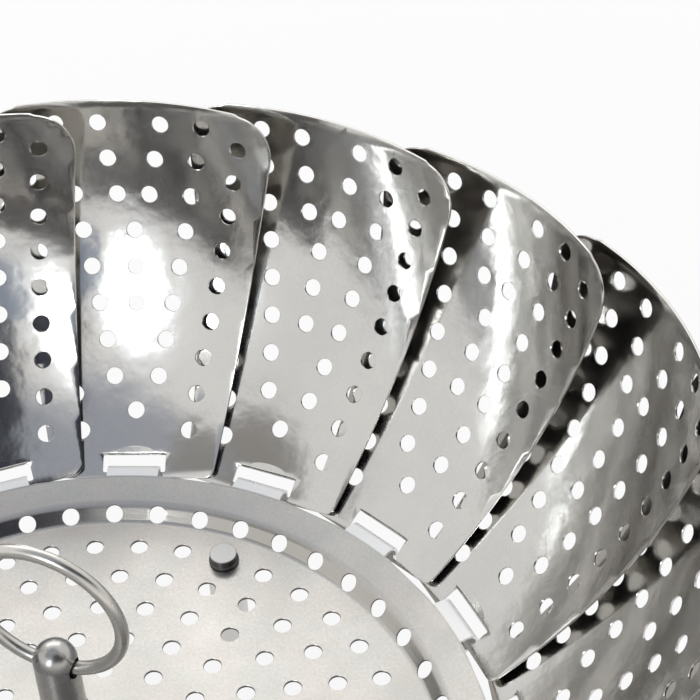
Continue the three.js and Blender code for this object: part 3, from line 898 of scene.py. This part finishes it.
def make_petal_steel():
    """Polished sheet: wavy, drawn in round its holes, with faint rolling lines and wiping marks."""
    material, tree, shader, place = new_steel("petal_steel")
    pattern = put(tree, "ShaderNodeUVMap", uv_map="flat_pattern").outputs["UV"]
    parts = put(tree, "ShaderNodeSeparateXYZ", {0: pattern})
    length = PETAL_LENGTH / MM
    across = sums(tree, "MULTIPLY", sums(tree, "SUBTRACT", parts.outputs["X"], 0.5), length)
    along = sums(tree, "MULTIPLY", parts.outputs["Y"], length)
    heights = []
    for start, slope, rows in zip(COLUMN_STARTS, COLUMN_SLOPES, COLUMN_ROWS):
        dimple = use(
            tree, DIMPLES, Across=across, Along=along, Column_Start=start / MM, Column_Slope=slope,
            First_Row=float(rows[0]),
        )
        heights.append(dimple["Height"])
    grain = use(tree, GRAIN, Place=pattern, Stretch=(1, 0.04, 1), Line_Width=0.004, Depth=0.001)
    heights += [tool_mark(tree, across, along), uneven(tree, place, *PETAL_WAVE)]
    heights += [uneven(tree, place, *PETAL_RIPPLE), grain["Height"]]
    bumped(tree, shader, total(tree, heights))
    smudges = use(tree, SMUDGES, Place=place, Size=0.012, Contrast=0.18)["Mask"]
    marks = sums(tree, "ADD", smudges, spots(tree, place, *PETAL_SCUFFS), clamp=True)
    shaded(tree, shader, marks, PETAL_FINISH, PETAL_WIPED)
    return material


def make_base_steel():
    """Satin sheet with marks that run round the base and a mottled floor, painted shade on its step and
    hole walls, and a painted highlight on its tongues.
    """
    material, tree, shader, place = new_steel("base_steel")
    parts = put(tree, "ShaderNodeSeparateXYZ", {0: place})
    azimuth = sums(tree, "ARCTAN2", parts.outputs["Y"], parts.outputs["X"])
    length = vector_sum(tree, "LENGTH", place)["Value"]
    polar = put(tree, "ShaderNodeCombineXYZ", {0: azimuth, 1: length, 2: 0.0}).outputs[0]
    rolled = use(tree, GRAIN, Place=polar, Stretch=(0.004, 1, 1), Line_Width=0.0007, Depth=0.012)
    level = put(tree, "ShaderNodeCombineXYZ", {0: parts.outputs["X"], 1: parts.outputs["Y"]}).outputs[0]
    reach = vector_sum(tree, "LENGTH", level)["Value"]
    beyond = sums(tree, "MAXIMUM", sums(tree, "MULTIPLY_ADD", reach, 1 / MM, -TONGUE_ROOT / MM), 0.0)
    heights = [rolled["Height"], uneven(tree, place, *BASE_SPECKLE, 3.0)]
    heights += [uneven(tree, place, *BASE_WAVE), sums(tree, "MULTIPLY", beyond, TONGUE_RISE)]
    bumped(tree, shader, total(tree, heights))
    smudges = use(tree, SMUDGES, Place=place, Size=0.016, Contrast=0.2)["Mask"]
    mottle = spots(tree, place, *BASE_MOTTLE)
    tint = ramp(tree, noise(tree, place, TINT_PATCH), 0.35, 0.65)
    marks = sums(tree, "ADD", sums(tree, "MULTIPLY", smudges, 0.6), mottle, clamp=True)
    warm = mixed_colour(tree, marks, BASE_FINISH[0], BASE_WIPED[0])
    cool = mixed_colour(tree, marks, COOL_COLOUR, COOL_WIPED_COLOUR)
    colour = mixed_colour(tree, tint, warm, cool)
    roughness = mixed_number(tree, marks, BASE_FINISH[1], BASE_WIPED[1])
    # Painted shade: darker colour on the step's face
    step = band_mask(tree, reach, STEP_RADIUS, STEP_WIDTH)
    colour = mixed_colour(tree, step, colour, STEP_PAINTED_SHADE[0])
    roughness = mixed_number(tree, step, roughness, STEP_PAINTED_SHADE[1])
    # Painted highlight on the tongues: near-white colour and less metal from here outward
    tongue = ramp(tree, reach, TONGUE_HIGHLIGHT_STARTS, TONGUE_HIGHLIGHT_FULL)
    colour = mixed_colour(tree, tongue, colour, TONGUE_PAINTED_HIGHLIGHT[0])
    roughness = mixed_number(tree, tongue, roughness, TONGUE_PAINTED_HIGHLIGHT[1])
    metallic_under_highlight = sums(tree, "MULTIPLY_ADD", tongue, -TONGUE_HIGHLIGHT_DIFFUSE_SHARE, 1.0)
    tree.links.new(metallic_under_highlight, shader.inputs["Metallic"])
    # Painted shade on the hole walls
    wall = put(tree, "ShaderNodeAttribute", attribute_name="hole_wall").outputs["Fac"]
    shaded(tree, shader, wall, (colour, roughness), HOLE_WALL_PAINTED_SHADE)
    return material


def make_foot_steel():
    """A bright peg under a head whose side carries painted shade, darker than its top."""
    material, tree, shader, place = new_steel("foot_steel")
    height = put(tree, "ShaderNodeSeparateXYZ", {0: place}).outputs["Z"]
    lines = use(tree, GRAIN, Place=place, Stretch=ALONG_STOCK, Line_Width=0.00015, Depth=0.004)
    bumped(tree, shader, total(tree, [lines["Height"], uneven(tree, place, *HEAD_SPECKLE)]))
    # Painted shade on the head's side, which the top's steel colour then covers
    side = sums(tree, "GREATER_THAN", height, FLOOR_TOP)
    top = sums(tree, "GREATER_THAN", height, FLOOR_TOP + HEAD_HEIGHT - EDGE_ROUND)
    colour = mixed_colour(tree, side, PEG_FINISH[0], HEAD_SIDE_PAINTED_SHADE[0])
    roughness = mixed_number(tree, side, PEG_FINISH[1], HEAD_SIDE_PAINTED_SHADE[1])
    shaded(tree, shader, top, (colour, roughness), HEAD_FINISH)
    return material


def make_turned_steel(name, finish, wiped, line_width, depth):
    """Round stock with lines that run round it."""
    material, tree, shader, place = new_steel(name)
    lines = use(tree, GRAIN, Place=place, Stretch=ALONG_STOCK, Line_Width=line_width, Depth=depth)
    bumped(tree, shader, total(tree, [lines["Height"], uneven(tree, place, *STOCK_WAVE)]))
    smudges = use(tree, SMUDGES, Place=place, Size=0.004, Contrast=0.2)["Mask"]
    shaded(tree, shader, smudges, finish, wiped)
    return material


# Stage and light
FLOOR_SIZE = 4.0
FLOOR_SEEN = 0.88  # the share of plain white in the floor as the camera sees it
FLOOR_MIRRORED = 0.8  # and as steel reflects it
FLOOR_ROUGHNESS = 0.7
PAPER = (0.86, 0.86, 0.86, 1)
WHITE = (1.0, 1.0, 1.0, 1.0)
ROOM_LIGHT = 0.8
TARGET_HEIGHT = 40 * MM  # that the lamps point at
CARD_CORE = 0.7  # the share of a round card's radius inside its soft border
CARD_STEPS = 24


def background_share(tree, seen, mirrored):
    """How much of the plain white background a ray sees, as the camera or by way of metal or glass."""
    path = put(tree, "ShaderNodeLightPath").outputs
    straight = sums(tree, "MULTIPLY", path["Is Camera Ray"], seen)
    bent = sums(tree, "ADD", path["Is Glossy Ray"], path["Is Transmission Ray"])
    return sums(tree, "ADD", straight, sums(tree, "MULTIPLY", bent, mirrored), clamp=True)


def make_floor():
    """A plain pale floor, white to the camera but for the basket's faint shadow."""
    material, tree, shader = new_material("pale_floor")
    shader.inputs["Base Color"].default_value = PAPER
    shader.inputs["Roughness"].default_value = FLOOR_ROUGHNESS
    glow = put(tree, "ShaderNodeEmission", {"Color": WHITE}).outputs[0]
    share = background_share(tree, FLOOR_SEEN, FLOOR_MIRRORED)
    mix = put(tree, "ShaderNodeMixShader", {0: share, 1: shader.outputs["BSDF"], 2: glow})
    tree.links.new(mix.outputs[0], tree.nodes["Material Output"].inputs["Surface"])
    bm = bmesh.new()
    bmesh.ops.create_grid(bm, x_segments=2, y_segments=2, size=FLOOR_SIZE / 2)
    finish_mesh(bm, "floor", material)


def clear(tree):
    return put(tree, "ShaderNodeBsdfTransparent").outputs[0]


def border(tree, shift, middle, points):
    """How far a point of a round card lies in its soft border."""
    centre = Vector((shift * math.cos(rad(middle)), shift * math.sin(rad(middle)), points[-1][1]))
    place = put(tree, "ShaderNodeTexCoord").outputs["Object"]
    away = vector_sum(tree, "DISTANCE", place, centre)["Value"]
    radius = points[-1][0]
    return ramp(tree, away, radius * CARD_CORE, radius, interpolation_type="SMOOTHSTEP")


def make_card(name, colour, points, middle, angle, shift=0.0):
    """A plain card that only the basket's reflections show.

    Its (radius, height) points are swept round the axis, through an angle about its middle azimuth.
    A round card may be shifted off the axis, and then has a soft border.
    """
    material, tree, shader = new_material(name)
    glow = put(tree, "ShaderNodeEmission", {"Color": (*colour, 1)}).outputs[0]
    if shift:
        share = border(tree, shift, middle, points)
        glow = put(tree, "ShaderNodeMixShader", {0: share, 1: glow, 2: clear(tree)}).outputs[0]
    tree.links.new(glow, tree.nodes["Material Output"].inputs["Surface"])
    bm = bmesh.new()
    swept(bm, points, rad(angle), CARD_STEPS)
    bmesh.ops.translate(bm, verts=bm.verts, vec=(shift, 0, 0))
    bmesh.ops.rotate(bm, verts=bm.verts, cent=(0, 0, 0), matrix=Matrix.Rotation(rad(middle), 3, "Z"))
    card = finish_mesh(bm, name, material)
    card.visible_camera = card.visible_diffuse = card.visible_shadow = False


def make_cards():
    """The room that the steel reflects, and a painted shadow on the floor: each card's colour, points,
    middle azimuth and angle.
    """
    make_card("ceiling_card", (0.46, 0.49, 0.56), [(0, 1.2), (0.85, 1.2)], -125, 360, 0.25)
    make_card("corner_card", (0.36, 0.35, 0.34), [(0, 1.15), (0.32, 1.15)], -165, 360, 0.85)
    make_card("left_dark_card", (0.045, 0.05, 0.07), [(1.3, 0.92), (1.0, 1.05), (0.35, 1.12)], -83, 44)
    make_card("right_dark_card", (0.045, 0.045, 0.055), [(1.3, 0.68), (1.0, 1.05), (0.35, 1.12)], -35, 52)
    make_card("narrow_card", (0.32, 0.37, 0.47), [(1.3, 0.54), (1.3, 0.92)], -103, 14)
    make_card("low_card", (0.11, 0.105, 0.105), [(1.3, 0), (1.3, 0.37)], -128, 48)
    # Painted shadow: a dark sheet on the floor where the basket's shadow falls, seen only in reflections
    make_card("painted_shadow_card", (0.06, 0.055, 0.055), [(0.13, 0.001), (0.5, 0.001)], 55, 140)


def make_world():
    """Soft light from all sides, and plain white to the camera and in reflections."""
    world = bpy.data.worlds.new("studio")
    bpy.context.scene.world = world
    world.use_nodes = True
    tree = world.node_tree
    room = tree.nodes["Background"]
    room.inputs["Color"].default_value = WHITE
    room.inputs["Strength"].default_value = ROOM_LIGHT
    white = put(tree, "ShaderNodeBackground", {"Color": WHITE}).outputs[0]
    share = background_share(tree, 1.0, 1.0)
    mix = put(tree, "ShaderNodeMixShader", {0: share, 1: room.outputs[0], 2: white})
    tree.links.new(mix.outputs[0], tree.nodes["World Output"].inputs["Surface"])


def make_lamp(name, azimuth, elevation, reach, size, power, colour, shape="RECTANGLE"):
    """A softbox that points at the basket."""
    data = bpy.data.lights.new(name, "AREA")
    data.shape = shape
    data.size, data.size_y = size
    data.energy = power
    data.color = colour
    lamp = bpy.data.objects.new(name, data)
    bpy.context.scene.collection.objects.link(lamp)
    across, up = rad(azimuth), rad(elevation)
    target = Vector((0, 0, TARGET_HEIGHT))
    out = Vector((math.cos(across) * math.cos(up), math.sin(across) * math.cos(up), math.sin(up)))
    lamp.location = target + reach * out
    lamp.rotation_euler = out.to_track_quat("Z", "Y").to_euler()


def make_lamps():
    make_lamp("window_softbox", -123, 32, 1.04, (0.23, 0.38), 2.3, (0.86, 0.93, 1.0), "ELLIPSE")
    make_lamp("background_softbox", 92, 36, 1.3, (1.2, 0.6), 3.2, (1.0, 0.99, 0.97))


make_floor()
make_cards()
make_world()
make_lamps()
petal_steel = make_petal_steel()
base_steel = make_base_steel()
rod_steel = make_turned_steel("rod_steel", ROD_FINISH, ROD_WIPED, 0.00015, 0.004)
wire_steel = make_turned_steel("wire_steel", WIRE_FINISH, WIRE_WIPED, 0.002, 0.002)
make_petals(petal_steel)
make_base(base_steel)
make_feet(make_foot_steel())
make_post(rod_steel)
make_nut(rod_steel)
make_ring(wire_steel)

bpy.context.scene.view_settings.view_transform = "Standard"
